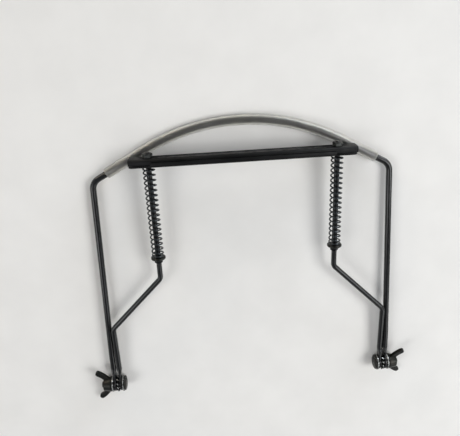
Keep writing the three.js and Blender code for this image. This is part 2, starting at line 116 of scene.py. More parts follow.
# %% [markdown]
# ## Tools for materials
# Colours are written as sRGB hex values, as a paint chart gives them, and turned to the linear
# values that the shader works with. One function adds a node with its settings and links. Pattern
# sizes are given in millimetres and turned to the cycles per metre that a texture node wants.
# Noise keeps mostly between 0.35 and 0.65, so a Map Range node stretches that part of it to the
# colours or roughness that the finish has. A colour Mix has its colours at inputs 6 and 7, and its
# result at output 2.

# %% Make colours and nodes
def linear(colour):
    """The linear RGBA value of a colour written as an sRGB hex string."""
    shares = [int(colour[i : i + 2], 16) / 255 for i in (1, 3, 5)]
    return [s / 12.92 if s <= 0.04045 else ((s + 0.055) / 1.055) ** 2.4 for s in shares] + [1]


def fill(tree, node, sockets):
    """Fills a node's inputs: in order from a tuple, or by name or number from a dictionary. Each
    takes a value, a hex colour or another node's output."""
    for place, value in sockets.items() if isinstance(sockets, dict) else enumerate(sockets):
        if isinstance(value, bpy.types.NodeSocket):
            tree.links.new(value, node.inputs[place])
        elif isinstance(value, str) and value.startswith("#"):
            node.inputs[place].default_value = linear(value)
        else:
            node.inputs[place].default_value = value


def add_node(tree, kind, sockets=(), **settings):
    """Adds a node with its settings, fills its inputs and returns its outputs."""
    node = tree.nodes.new(kind)
    for name, value in settings.items():
        setattr(node, name, value)
    fill(tree, node, sockets)
    return node.outputs


def per_metre(size_mm):
    """How often a pattern of that size repeats in one metre."""
    return 1 / (size_mm * MM)


def new_material(name, **values):
    """A material whose shader has these values. Underscores stand for spaces in socket names."""
    material = bpy.data.materials.new(name)
    material.use_nodes = True
    shader = material.node_tree.nodes["Principled BSDF"]
    for socket, value in values.items():
        shader.inputs[socket.replace("_", " ")].default_value = value
    return material, material.node_tree, shader


print("white is", linear("#FFFFFF"), "and a 2 mm grain repeats", per_metre(2), "times in a metre")

# %% Make patches and grain
noise_span = (0.35, 0.65)


def wandering(tree, size_mm, low, high, **noise):
    """A value that wanders from low to high, in patches of that size."""
    where = add_node(tree, "ShaderNodeTexCoord")["Object"]
    sockets = {"Vector": where, "Scale": per_metre(size_mm), **noise}
    patches = add_node(tree, "ShaderNodeTexNoise", sockets)[0]
    return add_node(tree, "ShaderNodeMapRange", (patches, *noise_span, low, high))[0]


def two_tone(tree, size_mm, first, second, **noise):
    """A colour that wanders between two, in patches of that size."""
    tone = wandering(tree, size_mm, 0, 1, **noise)
    return add_node(tree, "ShaderNodeMix", {0: tone, 6: first, 7: second}, data_type="RGBA")[2]


def relief(tree, size_mm, depth_mm, detail, **bump):
    """The normals of a skin whose grain has that size and depth."""
    where = add_node(tree, "ShaderNodeTexCoord")["Object"]
    sockets = {"Vector": where, "Scale": per_metre(size_mm), "Detail": detail}
    grain = add_node(tree, "ShaderNodeTexNoise", sockets)[0]
    return add_node(tree, "ShaderNodeBump", {"Height": grain, "Distance": depth_mm * MM, **bump})[0]


print("noise runs mostly between", *noise_span)

# %% [markdown]
# ## Black enamel on the rods and the jaws
# The bent rods and pressed jaws are dipped or sprayed in black stoving enamel. It is a smooth
# plastic-like film, so it isn't metallic. On the rods it is glossy and draws the lamps as streaks.
# On the jaws' sheet it is close to satin, because their faces stay an even dark in the photograph.
# The film flows a little before it sets, which leaves an orange peel of waves 1 to 2 mm long and a
# few thousandths deep. The colour is nearly even, and handling leaves faint dull patches.

# %% Mix the enamel
def enamel(name, dark, light, roughness, shine):
    """Stoving enamel over steel, between two near blacks and two roughness values."""
    material, tree, shader = new_material(name, IOR=1.5, Specular_IOR_Level=shine)
    peel = relief(tree, 1.6, 0.012, detail=1)
    fill(tree, shader, {
        "Base Color": two_tone(tree, 14, dark, light),
        "Roughness": wandering(tree, 6, *roughness, Detail=4, Roughness=0.6),
        "Normal": relief(tree, 0.35, 0.0015, detail=1, Normal=peel)})
    return material


rod_enamel = enamel("black_stoving_enamel_on_rod", "#060708", "#101213", (0.13, 0.26), 0.4)
jaw_enamel = enamel("black_stoving_enamel_on_sheet", "#050606", "#0D0E0F", (0.38, 0.58), 0.15)
print("made", rod_enamel.name, "and", jaw_enamel.name)

# %% [markdown]
# ## Black zinc on the screws, nuts and washers
# Small fasteners are barrel plated with zinc and blackened. The film is thin, so the metal shines
# through: it is metallic, very dark, and shifts between a green and a brown grey. Tumbling against
# each other leaves soft dull spots. The sharp rims of turned pieces wear lighter, and the rounded
# cast wing nuts hardly do. The washers' rims are rubbed through to bright zinc: in the photograph
# they are the pale strokes between the black pieces of each pivot.

# %% Measure the wear
def sharp_edges(tree):
    """Above 0.5 where the mesh stands out."""
    return add_node(tree, "ShaderNodeNewGeometry")["Pointiness"]


def from_hinge_line(tree):
    """A point's distance from the hinge line in millimetres, made uneven by up to 0.4."""
    uneven_by = 0.4
    where = add_node(tree, "ShaderNodeTexCoord")["Object"]
    offset = add_node(tree, "ShaderNodeVectorMath", (where, hinge), operation="SUBTRACT")[0]
    across = add_node(tree, "ShaderNodeVectorMath", (offset, (0, 1 / MM, 1 / MM)),
                      operation="MULTIPLY")[0]
    away = add_node(tree, "ShaderNodeVectorMath", (across,), operation="LENGTH")["Value"]
    uneven = wandering(tree, 2.2, -uneven_by, uneven_by, Detail=3)
    return add_node(tree, "ShaderNodeMath", (away, uneven), operation="ADD")[0]


# %% Mix the plating
def black_zinc(name, roughness, grain_mm, worn_by, wear_span, bare):
    """Blackened zinc plating with the grain of the metal under it. It is worn towards the bare
    colour as a measure goes through a span."""
    material, tree, shader = new_material(name, Metallic=0.85)
    plated = two_tone(tree, 5, "#1C1F1D", "#272522", Detail=3)
    worn = add_node(tree, "ShaderNodeMapRange", (worn_by(tree), *wear_span, 0, 0.8))[0]
    fill(tree, shader, {
        "Base Color": add_node(tree, "ShaderNodeMix", {0: worn, 6: plated, 7: bare},
                               data_type="RGBA")[2],
        "Roughness": wandering(tree, 1.8, *roughness, Detail=5, Roughness=0.65),
        "Normal": relief(tree, grain_mm, 0.01, detail=3)})
    return material


turned_zinc = black_zinc("black_zinc_on_turned_steel", (0.22, 0.38), 0.4,
                         sharp_edges, (0.52, 0.6), "#5F6260")
cast_zinc = black_zinc("black_zinc_on_cast_wing_nut", (0.3, 0.48), 0.9,
                       sharp_edges, (0.62, 0.85), "#8A8D8A")
rubbed_zinc = black_zinc("black_zinc_rubbed_off_washer_rims", (0.2, 0.32), 0.4,
                         from_hinge_line, (5.3, washer_radius), "#B4B6B4")
print("made", turned_zinc.name, cast_zinc.name, "and", rubbed_zinc.name)

# %% [markdown]
# ## Blackened spring wire
# Spring wire is pulled through dies, which leaves fine lines along it. It is blackened after it is
# coiled, and only thinly, so each turn still catches the light as a small bright dot. The lines
# follow the wire, so the pattern can't use the piece's plain coordinates. It reads two values that
# are stored on the mesh when the wire is swept: how far along the wire a point lies, in
# millimetres, and how far round its section, from 0 to 1. A line is about 5 mm long, and about
# nine lie side by side round the wire.

# %% Mix the wire's finish
line_length, lines_round = 5, 9
spring_wire, tree, shader = new_material("blackened_drawn_spring_wire", Metallic=0.85)
along = add_node(tree, "ShaderNodeAttribute", attribute_name="along_wire")["Fac"]
around = add_node(tree, "ShaderNodeAttribute", attribute_name="around_wire")["Fac"]
slow = add_node(tree, "ShaderNodeMath", (along, 1 / line_length), operation="MULTIPLY")[0]
quick = add_node(tree, "ShaderNodeMath", (around, lines_round), operation="MULTIPLY")[0]
where = add_node(tree, "ShaderNodeCombineXYZ", (slow, quick))[0]
lines = add_node(tree, "ShaderNodeTexNoise", {"Vector": where, "Scale": 1, "Detail": 3})[0]
tone = add_node(tree, "ShaderNodeMapRange", (lines, *noise_span, 0, 1))[0]
fill(tree, shader, {
    "Base Color": add_node(tree, "ShaderNodeMix", {0: tone, 6: "#1F2325", 7: "#4A4E50"},
                           data_type="RGBA")[2],
    "Roughness": add_node(tree, "ShaderNodeMapRange", (lines, *noise_span, 0.14, 0.26))[0],
    "Normal": add_node(tree, "ShaderNodeBump", {"Height": lines, "Distance": 0.01 * MM})[0]})
print("made", spring_wire.name)

# %% [markdown]
# ## Clear vinyl
# The sleeve is extruded soft PVC tube, the sort that is sold for aquarium air lines. It is clear
# with a trace of yellow, and its soft skin has a faint bloom that rounds off each reflection. The
# extruder's die leaves shallow lines along the tube, so lamps draw long streaks, and the cut ends
# are frosted. Both follow the tube, so they read values that the sleeve's sweep stores on its mesh.

# %% Mix the vinyl
frosted_to, clear_from = 0.5, 1.1
vinyl, tree, shader = new_material("clear_extruded_pvc", IOR=1.53, Transmission_Weight=0.97)
bloom = wandering(tree, 3, 0.275, 0.29, Detail=3)
from_end = add_node(tree, "ShaderNodeAttribute", attribute_name="from_tube_end")["Fac"]
frosted = add_node(tree, "ShaderNodeMapRange", (from_end, frosted_to, clear_from, 0.45, 0))[0]
section = add_node(tree, "ShaderNodeAttribute", attribute_name="tube_section")["Vector"]
along = add_node(tree, "ShaderNodeAttribute", attribute_name="along_tube")["Fac"]
x, y, _ = add_node(tree, "ShaderNodeSeparateXYZ", (section,))
slow = add_node(tree, "ShaderNodeMath", (along, 0.03), operation="MULTIPLY")[0]
where = add_node(tree, "ShaderNodeCombineXYZ", (x, y, slow))[0]
lines = add_node(tree, "ShaderNodeTexNoise", {"Vector": where, "Scale": 0.9, "Detail": 1})[0]
fill(tree, shader, {
    "Base Color": two_tone(tree, 20, "#FAF9F4", "#F6F4EC"),
    "Roughness": add_node(tree, "ShaderNodeMath", (frosted, bloom), operation="ADD")[0],
    "Normal": add_node(tree, "ShaderNodeBump", {"Height": lines, "Distance": 0.08 * MM})[0]})
print("made", vinyl.name)


# %% [markdown]
# ## Tools for shapes
# A mesh is built in millimetres and only gets its place at the very end, so that its object can
# stay at the origin like the CAD nodes. `shaped` runs modifiers on a mesh and returns a plain mesh.
# `carved` does the same with booleans, and `cut` takes volumes away as a drill or a saw would.
# Faces that meet at more than a set angle keep a sharp edge, and all others are shaded smooth.

# %% Handle meshes
def mesh_of(shape):
    """A mesh from a bmesh, which is used up."""
    bmesh.ops.recalc_face_normals(shape, faces=shape.faces)
    mesh = bpy.data.meshes.new("work")
    shape.to_mesh(mesh)
    shape.free()
    return mesh


def skinned(rings, closed=False, capped=False):
    """A mesh whose faces join each ring of points to the next. A ring may be a single point."""
    shape = bmesh.new()
    rings = [[shape.verts.new(point) for point in ring] for ring in rings]
    if closed:
        rings.append(rings[0])
    for low, high in zip(rings, rings[1:]):
        count = max(len(low), len(high))
        for i in range(count):
            j = (i + 1) % count
            corners = [low[i % len(low)], low[j % len(low)],
                       high[j % len(high)], high[i % len(high)]]
            shape.faces.new(list(dict.fromkeys(corners)))
    if capped:
        shape.faces.new(rings[0])
        shape.faces.new(rings[-1])
    return mesh_of(shape)


def work_object(mesh):
    holder = bpy.data.objects.new("work", mesh)
    scene.collection.objects.link(holder)
    return holder


def baked(holder):
    """The holder's evaluated mesh. The holder is removed."""
    depsgraph = bpy.context.evaluated_depsgraph_get()
    mesh = bpy.data.meshes.new_from_object(holder.evaluated_get(depsgraph), depsgraph=depsgraph)
    bpy.data.objects.remove(holder)
    return mesh


def shaped(mesh, *steps):
    """The mesh after modifiers, each a pair of its type and its settings."""
    holder = work_object(mesh)
    for kind, settings in steps:
        modifier = holder.modifiers.new(kind.lower(), kind)
        for name, value in settings.items():
            setattr(modifier, name, value)
    return baked(holder)


def carved(mesh, operation, *others):
    """The mesh after a boolean with each of the other meshes."""
    tools = [work_object(other) for other in others]
    steps = [("BOOLEAN", {"object": tool, "operation": operation, "solver": "EXACT"})
             for tool in tools]
    result = shaped(mesh, *steps)
    for tool in tools:
        bpy.data.objects.remove(tool)
    return result


def cut(mesh, *cutters):
    """The mesh with the cutters' volumes taken out of it."""
    return carved(mesh, "DIFFERENCE", *cutters)


def bevel(width, degrees, segments=2):
    """The step for `shaped` that rounds each edge whose faces meet at more than that angle."""
    return "BEVEL", {"width": width, "segments": segments, "limit_method": "ANGLE",
                     "angle_limit": math.radians(degrees)}


# %% Move, join and hand in meshes
def shift(x=0, y=0, z=0):
    return Matrix.Translation((x, y, z))


def moved(mesh, matrix):
    mesh.transform(matrix)
    if matrix.determinant() < 0:
        mesh.flip_normals()
    return mesh


def joined(*meshes):
    """One mesh that holds copies of several."""
    whole = bmesh.new()
    for mesh in meshes:
        whole.from_mesh(mesh)
    result = bpy.data.meshes.new("work")
    whole.to_mesh(result)
    whole.free()
    return result


def add_piece(name, mesh, place, body, node, material, sharp=32):
    """Puts a finished mesh in place, on a body, instead of a CAD node."""
    mesh = moved(mesh.copy(), place)
    mesh.name = name
    mesh.materials.clear()
    mesh.materials.append(material)
    mesh.polygons.foreach_set("use_smooth", [True] * len(mesh.polygons))
    mesh.set_sharp_from_angle(angle=math.radians(sharp))
    piece = bpy.data.objects.new(name, mesh)
    scene.collection.objects.link(piece)
    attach(piece, body)
    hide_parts(node)
    print(name, "has", sum(len(face.vertices) - 2 for face in mesh.polygons), "triangles")
    return piece


# %% [markdown]
# ## Bending and pressing rods
# The yoke and the arms start as straight rod. A bending machine makes straights joined by arcs, so
# the centre line is given as corners with a bend radius. Then the section is swept along it, ring
# by ring. Curve to Mesh could sweep a circle, but these rods change their section: each end is
# pressed flat into an eye, and the arms have small ears. So each ring gets its own half width and
# half thickness, and a squareness that turns the circle into the rounded slab that a press leaves.

# %% Bend a centre line
def corner(x, y, radius=0):
    return Vector((x, y, 0)), radius


def bent_line(corners, step_degrees=3):
    """Points and directions along straights that are joined by arcs."""
    first, second = corners[0][0], corners[1][0]
    line = [(first, (second - first).normalized())]
    for (before, _), (here, radius), (after, _) in zip(corners, corners[1:], corners[2:]):
        arriving, leaving = (here - before).normalized(), (after - here).normalized()
        if radius == 0:
            line.append((here, (arriving + leaving).normalized()))
            continue
        turning = arriving.angle(leaving)
        axis = arriving.cross(leaving).normalized()
        start = here - arriving * radius * math.tan(turning / 2)
        centre = start + axis.cross(arriving) * radius
        steps = math.ceil(math.degrees(turning) / step_degrees)
        for step in range(steps + 1):
            swing = Matrix.Rotation(turning * step / steps, 3, axis)
            line.append((centre + swing @ (start - centre), swing @ arriving))
    last, previous = corners[-1][0], corners[-2][0]
    line.append((last, (last - previous).normalized()))
    return line


def ease(value, start, end):
    """0 before start, 1 after end, and a smooth rise between them."""
    share = min(max((value - start) / (end - start), 0), 1)
    return share * share * (3 - 2 * share)


def mixed(first, second, share):
    return first + (second - first) * share


# %% Sweep a changing section
def swept_rod(line, section, sides=32):
    """A closed skin round a line. Section gives a ring's half width across the line in its own
    plane, its half height out of that plane and its squareness, at each point."""
    rings = []
    for point, direction in line:
        across = direction.cross(Vector((0, 0, 1)))
        wide, high, square = section(point)
        ring = []
        for side in range(sides):
            angle = 2 * math.pi * side / sides
            c, s = math.cos(angle), math.sin(angle)
            x = wide * math.copysign(abs(c) ** (2 / square), c)
            z = high * math.copysign(abs(s) ** (2 / square), s)
            ring.append(point + across * x + Vector((0, 0, z)))
        rings.append(ring)
    return skinned(rings, capped=True)


# %% Press an eye
pressed_to, plain_from = 8, 13
round_section, pressed_section = 2, 4.5


def eye_section(from_centre, rod, eye, thick, neck):
    """A pressed eye: flat and round about its hole, then narrower, then the plain rod. Its height
    never falls to 0 at the tip, and the power of 8 joins the eye's circle to its neck."""
    tip_height, joining = 0.02, 8
    circle = math.sqrt(max(eye * eye - from_centre * from_centre, tip_height**2))
    high = circle if from_centre < 0 else (circle**joining + neck**joining) ** (1 / joining)
    flat = 1 - ease(from_centre, pressed_to, plain_from)
    return (mixed(rod, thick, flat), mixed(rod, high, flat),
            mixed(round_section, pressed_section, flat))


def eye_stops(eye):
    """Distances from an eye's centre at which its outline needs a ring: every 6 degrees round the
    tip, then every half millimetre until the rod is plain."""
    tip = [-eye * math.cos(math.radians(6 * step)) for step in range(15)]
    return tip + [0.5 * step for step in range(2 * plain_from + 1)]


print("an eye takes", len(eye_stops(5)), "rings")

# %% [markdown]
# ## Turning, drilling and threads
# Washers, seats, bolts and hubs are turned on a lathe, so each is a profile spun round an axis. A
# drill is a plain cylinder for the boolean.
#
# A thread is a rule: the surface goes in and out as a triangle wave of the height, and the wave
# moves up by one pitch for each turn. That suits Geometry Nodes. The tree takes a fine cylinder and
# moves each point in by the wave's depth, so one tree serves every screw here. Its sums stand in a
# table. Each row names a result, and a loop adds the Math node that works it out.

# %% Turn on the lathe
def turned(profile, segments=64):
    """A profile of (radius, height) pairs, spun round Z. It closes on itself or on the axis."""
    closed = profile[0] == profile[-1]
    angles = [2 * math.pi * i / segments for i in range(segments)]
    rings = [[(radius * math.cos(a), radius * math.sin(a), height) for a in angles]
             if radius else [(0, 0, height)] for radius, height in profile]
    return skinned(rings[:-1] if closed else rings, closed)


def drill(radius, low, high):
    return turned([(0, low), (radius, low), (radius, high), (0, high)], 48)


def washer(outer, inner, thick, edge):
    """A stamped ring, rounded over its rim on both faces."""
    rim = [(outer - edge * (1 - math.sin(a)), edge * (1 - math.cos(a))) for a in
           [math.radians(15 * step) for step in range(7)]]
    top = [(radius, thick - height) for radius, height in reversed(rim)]
    chamfer = 0.15
    bore = [(inner, thick - chamfer), (inner, chamfer)]
    ring = [(inner + chamfer, 0)] + rim + top + [(inner + chamfer, thick)] + bore
    return turned(ring + [ring[0]])


# %% Build a Geometry Nodes tree
def new_tree(name, **inputs):
    """A tree with a geometry input and these inputs, and its input node's outputs. A whole number
    makes an integer input, another number a float input, and None a material input."""
    tree = bpy.data.node_groups.new(name, "GeometryNodeTree")
    tree.interface.new_socket("Geometry", in_out="INPUT", socket_type="NodeSocketGeometry")
    for label, value in inputs.items():
        kind = "Material" if value is None else "Int" if isinstance(value, int) else "Float"
        socket = tree.interface.new_socket(label.replace("_", " "), in_out="INPUT",
                                           socket_type="NodeSocket" + kind)
        if value is not None:
            socket.default_value = value
    tree.interface.new_socket("Geometry", in_out="OUTPUT", socket_type="NodeSocketGeometry")
    return tree, add_node(tree, "NodeGroupInput")


def end_tree(tree, geometry, finish):
    """Makes instances real, sets the material and closes the tree."""
    real = add_node(tree, "GeometryNodeRealizeInstances", {"Geometry": geometry})[0]
    painted = add_node(tree, "GeometryNodeSetMaterial", {"Geometry": real, "Material": finish})[0]
    add_node(tree, "NodeGroupOutput", {"Geometry": painted})


def grown(tree, base=None, **inputs):
    """The mesh that a tree makes from a base mesh and its inputs."""
    holder = work_object(base or bpy.data.meshes.new("work"))
    modifier = holder.modifiers.new("grow", "NODES")
    modifier.node_group = tree
    for name, value in inputs.items():
        socket = tree.interface.items_tree[name.replace("_", " ")]
        modifier[socket.identifier] = value
    return baked(holder)


# %% Cut threads by a rule
screw, given = new_tree("screw_thread", Radius=2.4, Depth=0.4, Pitch=0.8, Length=10.0,
                        Chamfer=0.6, Rings=100, Finish=None)
blank = add_node(screw, "GeometryNodeMeshCylinder", {
    "Vertices": 40, "Side Segments": given["Rings"], "Radius": given["Radius"],
    "Depth": given["Length"]})["Mesh"]
middle = add_node(screw, "ShaderNodeMath", (given["Length"], 2), operation="DIVIDE")[0]
raised = add_node(screw, "ShaderNodeCombineXYZ", {"Z": middle})[0]
lifted = add_node(screw, "GeometryNodeTransform", {"Geometry": blank, "Translation": raised})[0]
position = add_node(screw, "GeometryNodeInputPosition")[0]
x, y, z = add_node(screw, "ShaderNodeSeparateXYZ", (position,))

sums = dict(given.items(), x=x, y=y, z=z)
for result, first, operation, second in (
    ("turns up", "z", "DIVIDE", "Pitch"),
    ("angle", "y", "ARCTAN2", "x"),
    ("share of a turn", "angle", "DIVIDE", 2 * math.pi),
    ("unwound", "turns up", "SUBTRACT", "share of a turn"),
    ("half wave", "unwound", "PINGPONG", 0.5),
    ("wave", "half wave", "MULTIPLY", 2),
    ("groove", "wave", "MULTIPLY", "Depth"),
    ("crest", "Radius", "SUBTRACT", "groove"),
    ("to tip", "Length", "SUBTRACT", "z"),
    ("at tip", "Radius", "SUBTRACT", "Chamfer"),
    ("cone", "at tip", "ADD", "to tip"),
    ("flank", "crest", "MINIMUM", "cone"),
    ("share", "flank", "DIVIDE", "Radius"),
    ("new x", "x", "MULTIPLY", "share"),
    ("new y", "y", "MULTIPLY", "share"),
):
    pair = [sums.get(value, value) for value in (first, second)]
    sums[result] = add_node(screw, "ShaderNodeMath", pair, operation=operation)[0]
new_position = add_node(screw, "ShaderNodeCombineXYZ", (sums["new x"], sums["new y"], z))[0]
threaded = add_node(screw, "GeometryNodeSetPosition", {
    "Geometry": lifted, "Position": new_position})[0]
end_tree(screw, threaded, given["Finish"])


def threaded_shank(radius, pitch, length, chamfer, finish):
    """A threaded length from height 0 up, with ten rings for each turn."""
    depth_share, rings_a_turn = 0.54, 10
    return grown(screw, Radius=radius, Depth=pitch * depth_share, Pitch=pitch, Length=length,
                 Chamfer=chamfer, Rings=round(rings_a_turn * length / pitch), Finish=finish)


print("the thread tree has", len(screw.nodes), "nodes")

# %% [markdown]
# ## The yoke
# One rod of 4 mm steel: two legs, two tight shoulder bends and a shallow arch with long straight
# slopes. The eyes at its ends are pressed in the plane that faces the arms, and drilled.

# %% Make the yoke
yoke_half_width = 98.4
shoulder_x, shoulder_y, shoulder_bend = 95.2, 149.1, 8
slope, arch_bend = math.radians(28.5), 130
arch_corner = shoulder_y + shoulder_x * math.tan(slope)
yoke_eye, pivot_hole, straight_from = 5.2, 2.7, 24
yoke_leg = [corner(yoke_half_width, stop) for stop in eye_stops(yoke_eye)]
yoke_leg += [corner(yoke_half_width, straight_from),
             corner(shoulder_x, shoulder_y, shoulder_bend)]
other_leg = [corner(-point.x, point.y, radius) for point, radius in reversed(yoke_leg)]
yoke_line = bent_line(yoke_leg + [corner(0, arch_corner, arch_bend)] + other_leg)
yoke = swept_rod(yoke_line, lambda point: eye_section(point.y, rod=2, eye=yoke_eye, thick=1,
                                                      neck=3.3))
across_x = Matrix.Rotation(math.pi / 2, 4, "Y")
yoke_holes = [moved(drill(pivot_hole, -4, 4), shift(x) @ across_x)
              for x in (-yoke_half_width, yoke_half_width)]
add_piece("painted_yoke", cut(yoke, *yoke_holes), yoke_plane, "yoke", "yoke_rod",
          rod_enamel)

# %% [markdown]
# ## The sleeve
# A length of clear tube is pushed over the rod before its ends are pressed, and it follows the
# arch. Geometry Nodes sweep a circle along the same line. On the way they store how far each point
# lies along the tube, how far from the nearer end, and where on the section. Solidify turns the
# skin inwards into a wall of 0.95 mm, which also closes the cut ends as flat rings, and a small
# bevel takes off their sharp edges.

# %% Write the rule for a tube on a line
tubing, given = new_tree("tube_on_line", Radius=3.25, Sides=40, Finish=None)
route = add_node(tubing, "GeometryNodeMeshToCurve", {"Mesh": given["Geometry"]})[0]
from_start = add_node(tubing, "GeometryNodeSplineParameter")["Length"]
whole_length = add_node(tubing, "GeometryNodeCurveLength", {"Curve": route})[0]
from_far_end = add_node(tubing, "ShaderNodeMath", (whole_length, from_start),
                        operation="SUBTRACT")[0]
from_end = add_node(tubing, "ShaderNodeMath", (from_start, from_far_end), operation="MINIMUM")[0]
for mark, value in (("along_tube", from_start), ("from_tube_end", from_end)):
    route = add_node(tubing, "GeometryNodeStoreNamedAttribute", {
        "Geometry": route, "Name": mark, "Value": value}, data_type="FLOAT", domain="POINT")[0]
ring = add_node(tubing, "GeometryNodeCurvePrimitiveCircle", {
    "Resolution": given["Sides"], "Radius": given["Radius"]})["Curve"]
on_ring = add_node(tubing, "GeometryNodeInputPosition")[0]
ring = add_node(tubing, "GeometryNodeStoreNamedAttribute", {
    "Geometry": ring, "Name": "tube_section", "Value": on_ring},
    data_type="FLOAT_VECTOR", domain="POINT")[0]
tube = add_node(tubing, "GeometryNodeCurveToMesh", {"Curve": route, "Profile Curve": ring})[0]
end_tree(tubing, tube, given["Finish"])
print("the tube tree has", len(tubing.nodes), "nodes")

# %% Sweep the sleeve
bare_slope, wall = 10.9, 0.95
sleeve_end_x = shoulder_x - bare_slope * math.cos(slope)
sleeve_end_y = shoulder_y + bare_slope * math.sin(slope)
sleeve_line = bent_line([corner(sleeve_end_x, sleeve_end_y), corner(0, arch_corner, arch_bend),
                         corner(-sleeve_end_x, sleeve_end_y)], step_degrees=1)
polyline = bpy.data.meshes.new("sleeve_line")
polyline.from_pydata([point for point, _ in sleeve_line],
                     [(i, i + 1) for i in range(len(sleeve_line) - 1)], [])
outside = bmesh.new()
outside.from_mesh(grown(tubing, polyline, Radius=sleeve_radius, Finish=vinyl))
solidify = ("SOLIDIFY", {"thickness": wall, "offset": -1, "use_even_offset": True})
sleeve = shaped(mesh_of(outside), solidify, bevel(0.15, 60))
add_piece("clear_sleeve", sleeve, yoke_plane, "yoke", "neck_sleeve", vinyl)

# %% [markdown]
# ## The arms
# Each arm is 3.5 mm rod. It has an eye at the pivot, runs beside the yoke's leg, turns in by a
# dogleg, and ends as a straight rail. Two ears are nipped out of the rail to stop the spring's
# seat. The rail's end is turned down and threaded for a small nut.

# %% Make the arms
arm_half_width, arm_eye = 94.3, 5
rail, rail_end = 58.3, 163.5
dogleg_low, dogleg_high, dogleg_bend = 45.7, 82.3, 5
ears_start, ears_from, ears_to = 93.5, (93.7, 94.7), (96.2, 96.7)
ear_wide, ear_high, ear_square = 2.7, 1, 4


def arm_section(point):
    """The arm's section at a point of its line, with the eye and the two nipped ears."""
    wide, high, square = eye_section(point.y, rod=1.75, eye=arm_eye, thick=0.9, neck=2.8)
    nip = min(ease(point.y, *ears_from), 1 - ease(point.y, *ears_to))
    return mixed(wide, ear_wide, nip), mixed(high, ear_high, nip), mixed(square, ear_square, nip)


arm_corners = [corner(arm_half_width, stop) for stop in eye_stops(arm_eye)]
arm_corners += [corner(arm_half_width, dogleg_low, dogleg_bend),
                corner(rail, dogleg_high, dogleg_bend)]
arm_corners += [corner(rail, ears_start + 0.2 * step) for step in range(17)]
arm_corners += [corner(rail, rail_end - 0.4), corner(rail, rail_end)]
arm_rod = swept_rod(bent_line(arm_corners), arm_section)
arm_rod = cut(arm_rod, moved(drill(pivot_hole, -4, 4), shift(arm_half_width) @ across_x))
up_the_rail = Matrix.Rotation(-math.pi / 2, 4, "X")
tenon = threaded_shank(radius=1.45, pitch=0.5, length=5.4, chamfer=0.3, finish=rod_enamel)
arm = joined(arm_rod, moved(tenon, shift(rail, rail_end - 0.5) @ up_the_rail))
mirror = Matrix.Scale(-1, 4, (1, 0, 0))
for side, flip in (("right", Matrix.Identity(4)), ("left", mirror)):
    add_piece("painted_arm_" + side, arm, cradle_plane @ flip, "cradle", "cradle_arm_" + side,
              rod_enamel)

# %% [markdown]
# ## The jaws
# Both jaws are folded from 1.2 mm sheet. A press brake leaves a round outer bend and a tight inner
# one, and the sheared edges get a small break before painting. The profile is drawn once as the
# sheet's two faces, then pulled along X. Holes are drilled before the edges are broken, so the
# Bevel modifier rounds them too.

# %% Fold a channel
sheet, outer_bend = 1.2, 1.5
broken_edge = bevel(0.14, 40)


def arc(x, y, radius, start, end, steps=6):
    angles = [math.radians(start + (end - start) * step / steps) for step in range(steps + 1)]
    return [(x + radius * math.cos(a), y + radius * math.sin(a)) for a in angles]


def pulled(outline, low, high, axes):
    """An outline pulled from one level to another. Axes says where an outline's two numbers and
    the level go, such as "zyx" for pairs of Z and Y that are pulled along X."""
    order = [axes.index(axis) for axis in "xyz"]
    return skinned([[[(*pair, level)[i] for i in order] for pair in outline]
                    for level in (low, high)], capped=True)


def channel(depth, height, length):
    """A channel along X. Its web's outer face is at Y 0, and its lips run down to minus height."""
    half, inner_bend = depth / 2, outer_bend - sheet
    left, right = outer_bend - half, half - outer_bend
    outline = [(-half, -height)] + arc(left, -outer_bend, outer_bend, 180, 90)
    outline += arc(right, -outer_bend, outer_bend, 90, 0) + [(half, -height)]
    outline += [(half - sheet, -height)] + arc(right, -outer_bend, inner_bend, 0, 90)
    outline += arc(left, -outer_bend, inner_bend, 90, 180) + [(sheet - half, -height)]
    return pulled(outline, -length / 2, length / 2, "zyx")


def rail_holes(radius, height):
    return [moved(drill(radius, -3, 3), shift(x, height) @ up_the_rail) for x in (-rail, rail)]


# %% Make the fixed jaw
jaw_length, fixed_top = 140.2, 165
fixed = moved(channel(10, 3.6, jaw_length), shift(y=fixed_top))
fixed = shaped(cut(fixed, *rail_holes(1.65, fixed_top - sheet / 2)), broken_edge)
add_piece("folded_fixed_jaw", fixed, cradle_plane, "cradle", "fixed_jaw", jaw_enamel)

# %% [markdown]
# ## The sliding jaw
# It is the wider of the two, so its lips close outside the fixed jaw's like the lid of a tin. The
# lips stop at the rails and the web runs on as flat tabs with rounded corners, which are drilled
# to run on the rails.

# %% Make the sliding jaw
web_low, web_high = 159.9, 161.1
half_length, half_depth, tab_corner = jaw_length / 2, 5, 3
lips_down = shift(y=web_low) @ Matrix.Scale(-1, 4, (0, 1, 0))
lipped = moved(channel(13, 3, 113), lips_down)
rounded = []
for x, z, start in ((1, 1, 0), (-1, 1, 90), (-1, -1, 180), (1, -1, 270)):
    rounded += arc(x * (half_length - tab_corner), z * (half_depth - tab_corner), tab_corner,
                   start, start + 90)
sliding = carved(lipped, "UNION", pulled(rounded, web_low, web_high, "xzy"))
sliding = shaped(cut(sliding, *rail_holes(2.05, (web_low + web_high) / 2)), broken_edge)
add_piece("folded_sliding_jaw", sliding, cradle_plane, "sliding_jaw", "sliding_jaw",
          jaw_enamel)
